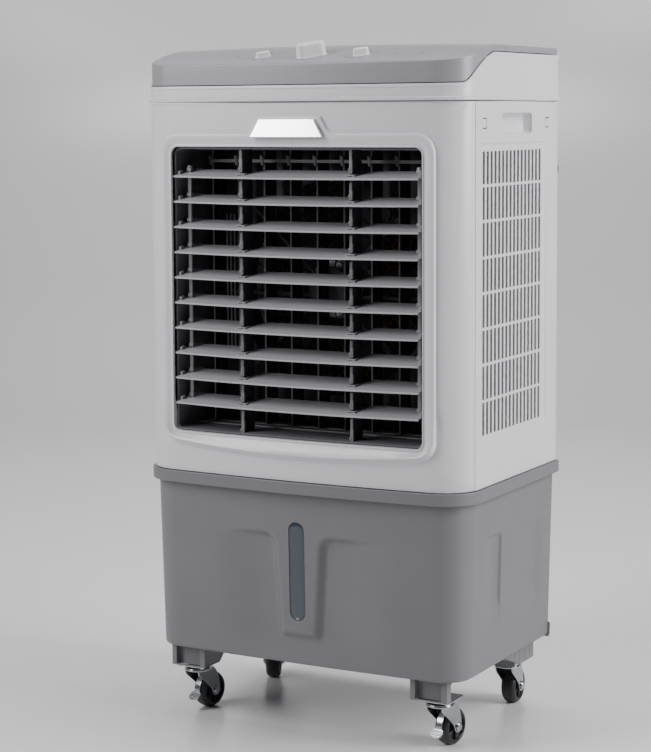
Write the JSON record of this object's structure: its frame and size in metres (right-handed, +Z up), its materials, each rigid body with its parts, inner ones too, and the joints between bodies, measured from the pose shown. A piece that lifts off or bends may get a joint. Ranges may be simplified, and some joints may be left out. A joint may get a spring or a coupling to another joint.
{
  "type": "evaporative cooler",
  "caption": "Upright evaporative air cooler on swivel casters: white housing, tilting louvers and swinging vanes, axial fan, wetted paper pads and a grey water tank.",
  "frame": {"origin": "middle of the footprint, on the floor that the caster wheels stand on", "axes": "+Z up; the air outlet faces -Y; +X is to the right of someone facing the outlet"},
  "size_m": [0.498, 0.3468, 0.9355],
  "materials": {
    "white_shell": "fine matt moulded",
    "grey_shell": "fine matt moulded",
    "louver_grey": "satin moulded",
    "inner_black": "matt moulded",
    "window_tint": "clear tinted, glossy",
    "paper_comb": "resin-stiffened honeycomb",
    "chrome": "bright plated",
    "motor_steel": "zinc plated",
    "wheel_black": "moulded tread",
    "knob_white": "gloss moulded",
    "hose_clear": "soft milky tube"
  },
  "bodies": {
    "housing": {"tank": "grey_shell", "level_window": "window_tint", "front_panel": "white_shell", "side_panel_left": "white_shell", "side_panel_right": "white_shell", "rear_panel": "white_shell", "top_housing": "white_shell", "control_deck": "grey_shell", "louver_frame": "louver_grey", "fan_shroud": "inner_black", "fan_motor": "motor_steel", "swing_motor": "motor_steel", "rear_pad": "paper_comb", "side_pad_left": "paper_comb", "side_pad_right": "paper_comb", "water_distributor": "grey_shell", "pump": "inner_black", "hose": "hose_clear", "cord_gland": "inner_black", "caster_plate_front_left": "chrome", "caster_plate_front_right": "chrome", "caster_plate_rear_left": "chrome", "caster_plate_rear_right": "chrome"},
    "louver_01": {"louver_01": "louver_grey"},
    "louver_02": {"louver_02": "louver_grey"},
    "louver_03": {"louver_03": "louver_grey"},
    "louver_04": {"louver_04": "louver_grey"},
    "louver_05": {"louver_05": "louver_grey"},
    "louver_06": {"louver_06": "louver_grey"},
    "louver_07": {"louver_07": "louver_grey"},
    "louver_08": {"louver_08": "louver_grey"},
    "louver_09": {"louver_09": "louver_grey"},
    "louver_10": {"louver_10": "louver_grey"},
    "louver_link": {"louver_link": "louver_grey"},
    "vane_1": {"vane_1": "inner_black"},
    "vane_2": {"vane_2": "inner_black"},
    "vane_3": {"vane_3": "inner_black"},
    "vane_4": {"vane_4": "inner_black"},
    "vane_5": {"vane_5": "inner_black"},
    "vane_6": {"vane_6": "inner_black"},
    "vane_7": {"vane_7": "inner_black"},
    "vane_8": {"vane_8": "inner_black"},
    "vane_9": {"vane_9": "inner_black"},
    "vane_link": {"vane_link": "inner_black"},
    "fan": {"fan": "inner_black"},
    "knob_speed": {"knob_speed": "knob_white"},
    "knob_swing": {"knob_swing": "knob_white"},
    "knob_cool": {"knob_cool": "knob_white"},
    "fill_door": {"fill_door": "grey_shell"},
    "drain_plug": {"drain_plug": "inner_black"},
    "caster_front_left": {"caster_fork_front_left": "chrome"},
    "wheel_front_left": {"caster_wheel_front_left": "wheel_black"},
    "brake_front_left": {"caster_brake_front_left": "chrome"},
    "caster_front_right": {"caster_fork_front_right": "chrome"},
    "wheel_front_right": {"caster_wheel_front_right": "wheel_black"},
    "brake_front_right": {"caster_brake_front_right": "chrome"},
    "caster_rear_left": {"caster_fork_rear_left": "chrome"},
    "wheel_rear_left": {"caster_wheel_rear_left": "wheel_black"},
    "caster_rear_right": {"caster_fork_rear_right": "chrome"},
    "wheel_rear_right": {"caster_wheel_rear_right": "wheel_black"}
  },
  "joints": [
    {"name": "louver_01_tilt", "type": "hinge", "parent": "housing", "child": "louver_01", "pos_m": [0, -0.1526, 0.75632], "axis": [1, 0, 0], "range_deg": [-33.5, 26.5]},
    {"name": "louver_02_tilt", "type": "hinge", "parent": "housing", "child": "louver_02", "pos_m": [0, -0.1526, 0.72205], "axis": [1, 0, 0], "range_deg": [-33.5, 26.5]},
    {"name": "louver_03_tilt", "type": "hinge", "parent": "housing", "child": "louver_03", "pos_m": [0, -0.1526, 0.68778], "axis": [1, 0, 0], "range_deg": [-33.5, 26.5]},
    {"name": "louver_04_tilt", "type": "hinge", "parent": "housing", "child": "louver_04", "pos_m": [0, -0.1526, 0.65351], "axis": [1, 0, 0], "range_deg": [-33.5, 26.5]},
    {"name": "louver_05_tilt", "type": "hinge", "parent": "housing", "child": "louver_05", "pos_m": [0, -0.1526, 0.61924], "axis": [1, 0, 0], "range_deg": [-33.5, 26.5]},
    {"name": "louver_06_tilt", "type": "hinge", "parent": "housing", "child": "louver_06", "pos_m": [0, -0.1526, 0.58497], "axis": [1, 0, 0], "range_deg": [-33.5, 26.5]},
    {"name": "louver_07_tilt", "type": "hinge", "parent": "housing", "child": "louver_07", "pos_m": [0, -0.1526, 0.5507], "axis": [1, 0, 0], "range_deg": [-33.5, 26.5]},
    {"name": "louver_08_tilt", "type": "hinge", "parent": "housing", "child": "louver_08", "pos_m": [0, -0.1526, 0.51643], "axis": [1, 0, 0], "range_deg": [-33.5, 26.5]},
    {"name": "louver_09_tilt", "type": "hinge", "parent": "housing", "child": "louver_09", "pos_m": [0, -0.1526, 0.48216], "axis": [1, 0, 0], "range_deg": [-33.5, 26.5]},
    {"name": "louver_10_tilt", "type": "hinge", "parent": "housing", "child": "louver_10", "pos_m": [0, -0.1526, 0.44789], "axis": [1, 0, 0], "range_deg": [-33.5, 26.5]},
    {"name": "louver_link_pivot", "type": "hinge", "parent": "louver_01", "child": "louver_link", "pos_m": [-0.174, -0.1406, 0.75854], "axis": [1, 0, 0], "range_deg": [-26.5, 33.5]},
    {"name": "vane_1_swing", "type": "hinge", "parent": "housing", "child": "vane_1", "pos_m": [-0.164, -0.0806, 0.6], "axis": [0, 0, 1], "range_deg": [-35, 35]},
    {"name": "vane_2_swing", "type": "hinge", "parent": "housing", "child": "vane_2", "pos_m": [-0.123, -0.0806, 0.6], "axis": [0, 0, 1], "range_deg": [-35, 35]},
    {"name": "vane_3_swing", "type": "hinge", "parent": "housing", "child": "vane_3", "pos_m": [-0.082, -0.0806, 0.6], "axis": [0, 0, 1], "range_deg": [-35, 35]},
    {"name": "vane_4_swing", "type": "hinge", "parent": "housing", "child": "vane_4", "pos_m": [-0.041, -0.0806, 0.6], "axis": [0, 0, 1], "range_deg": [-35, 35]},
    {"name": "vane_5_swing", "type": "hinge", "parent": "housing", "child": "vane_5", "pos_m": [0, -0.0806, 0.6], "axis": [0, 0, 1], "range_deg": [-35, 35]},
    {"name": "vane_6_swing", "type": "hinge", "parent": "housing", "child": "vane_6", "pos_m": [0.041, -0.0806, 0.6], "axis": [0, 0, 1], "range_deg": [-35, 35]},
    {"name": "vane_7_swing", "type": "hinge", "parent": "housing", "child": "vane_7", "pos_m": [0.082, -0.0806, 0.6], "axis": [0, 0, 1], "range_deg": [-35, 35]},
    {"name": "vane_8_swing", "type": "hinge", "parent": "housing", "child": "vane_8", "pos_m": [0.123, -0.0806, 0.6], "axis": [0, 0, 1], "range_deg": [-35, 35]},
    {"name": "vane_9_swing", "type": "hinge", "parent": "housing", "child": "vane_9", "pos_m": [0.164, -0.0806, 0.6], "axis": [0, 0, 1], "range_deg": [-35, 35]},
    {"name": "vane_link_pivot", "type": "hinge", "parent": "vane_1", "child": "vane_link", "pos_m": [-0.164, -0.1006, 0.774], "axis": [0, 0, 1], "range_deg": [-35, 35]},
    {"name": "fan_spin", "type": "hinge", "parent": "housing", "child": "fan", "pos_m": [0, 0.001, 0.6], "axis": [0, 1, 0], "continuous": true},
    {"name": "knob_speed_turn", "type": "hinge", "parent": "housing", "child": "knob_speed", "pos_m": [0, -0.1106, 0.9138], "axis": [0, -0.2425, 0.9701], "range_deg": [-120, 120]},
    {"name": "knob_swing_turn", "type": "hinge", "parent": "housing", "child": "knob_swing", "pos_m": [-0.0745, -0.1106, 0.9138], "axis": [0, -0.2425, 0.9701], "range_deg": [0, 90]},
    {"name": "knob_cool_turn", "type": "hinge", "parent": "housing", "child": "knob_cool", "pos_m": [0.0745, -0.1106, 0.9138], "axis": [0, -0.2425, 0.9701], "range_deg": [-90, 0]},
    {"name": "fill_door_swing", "type": "hinge", "parent": "housing", "child": "fill_door", "pos_m": [-0.09, 0.14932, 0.2335], "axis": [-1, 0, 0], "range_deg": [0, 60]},
    {"name": "drain_plug_pull", "type": "slide", "parent": "housing", "child": "drain_plug", "axis": [0, 1, 0], "range_m": [0, 0.025]},
    {"name": "caster_front_left_swivel", "type": "hinge", "parent": "housing", "child": "caster_front_left", "pos_m": [-0.189, -0.1106, 0.0625], "axis": [0, 0, 1], "continuous": true},
    {"name": "wheel_front_left_spin", "type": "hinge", "parent": "caster_front_left", "child": "wheel_front_left", "pos_m": [-0.18525, -0.0869, 0.025], "axis": [0.9877, -0.1564, 0], "continuous": true},
    {"name": "brake_front_left_press", "type": "hinge", "parent": "caster_front_left", "child": "brake_front_left", "pos_m": [-0.18525, -0.0869, 0.025], "axis": [0.9877, -0.1564, 0], "range_deg": [0, 15]},
    {"name": "caster_front_right_swivel", "type": "hinge", "parent": "housing", "child": "caster_front_right", "pos_m": [0.189, -0.1106, 0.0625], "axis": [0, 0, 1], "continuous": true},
    {"name": "wheel_front_right_spin", "type": "hinge", "parent": "caster_front_right", "child": "wheel_front_right", "pos_m": [0.19275, -0.0869, 0.025], "axis": [0.9877, -0.1564, 0], "continuous": true},
    {"name": "brake_front_right_press", "type": "hinge", "parent": "caster_front_right", "child": "brake_front_right", "pos_m": [0.19275, -0.0869, 0.025], "axis": [0.9877, -0.1564, 0], "range_deg": [0, 15]},
    {"name": "caster_rear_left_swivel", "type": "hinge", "parent": "housing", "child": "caster_rear_left", "pos_m": [-0.19, 0.1074, 0.0625], "axis": [0, 0, 1], "continuous": true},
    {"name": "wheel_rear_left_spin", "type": "hinge", "parent": "caster_rear_left", "child": "wheel_rear_left", "pos_m": [-0.17986, 0.08565, 0.025], "axis": [-0.9063, -0.4226, 0], "continuous": true},
    {"name": "caster_rear_right_swivel", "type": "hinge", "parent": "housing", "child": "caster_rear_right", "pos_m": [0.19, 0.1074, 0.0625], "axis": [0, 0, 1], "continuous": true},
    {"name": "wheel_rear_right_spin", "type": "hinge", "parent": "caster_rear_right", "child": "wheel_rear_right", "pos_m": [0.18874, 0.13137, 0.025], "axis": [0.9986, 0.0523, 0], "continuous": true}
  ],
  "couplings": [
    {"joint": "louver_02_tilt", "follows": "louver_01_tilt", "ratio": 1},
    {"joint": "louver_03_tilt", "follows": "louver_01_tilt", "ratio": 1},
    {"joint": "louver_04_tilt", "follows": "louver_01_tilt", "ratio": 1},
    {"joint": "louver_05_tilt", "follows": "louver_01_tilt", "ratio": 1},
    {"joint": "louver_06_tilt", "follows": "louver_01_tilt", "ratio": 1},
    {"joint": "louver_07_tilt", "follows": "louver_01_tilt", "ratio": 1},
    {"joint": "louver_08_tilt", "follows": "louver_01_tilt", "ratio": 1},
    {"joint": "louver_09_tilt", "follows": "louver_01_tilt", "ratio": 1},
    {"joint": "louver_10_tilt", "follows": "louver_01_tilt", "ratio": 1},
    {"joint": "louver_link_pivot", "follows": "louver_01_tilt", "ratio": -1},
    {"joint": "vane_2_swing", "follows": "vane_1_swing", "ratio": 1},
    {"joint": "vane_3_swing", "follows": "vane_1_swing", "ratio": 1},
    {"joint": "vane_4_swing", "follows": "vane_1_swing", "ratio": 1},
    {"joint": "vane_5_swing", "follows": "vane_1_swing", "ratio": 1},
    {"joint": "vane_6_swing", "follows": "vane_1_swing", "ratio": 1},
    {"joint": "vane_7_swing", "follows": "vane_1_swing", "ratio": 1},
    {"joint": "vane_8_swing", "follows": "vane_1_swing", "ratio": 1},
    {"joint": "vane_9_swing", "follows": "vane_1_swing", "ratio": 1},
    {"joint": "vane_link_pivot", "follows": "vane_1_swing", "ratio": -1}
  ]
}
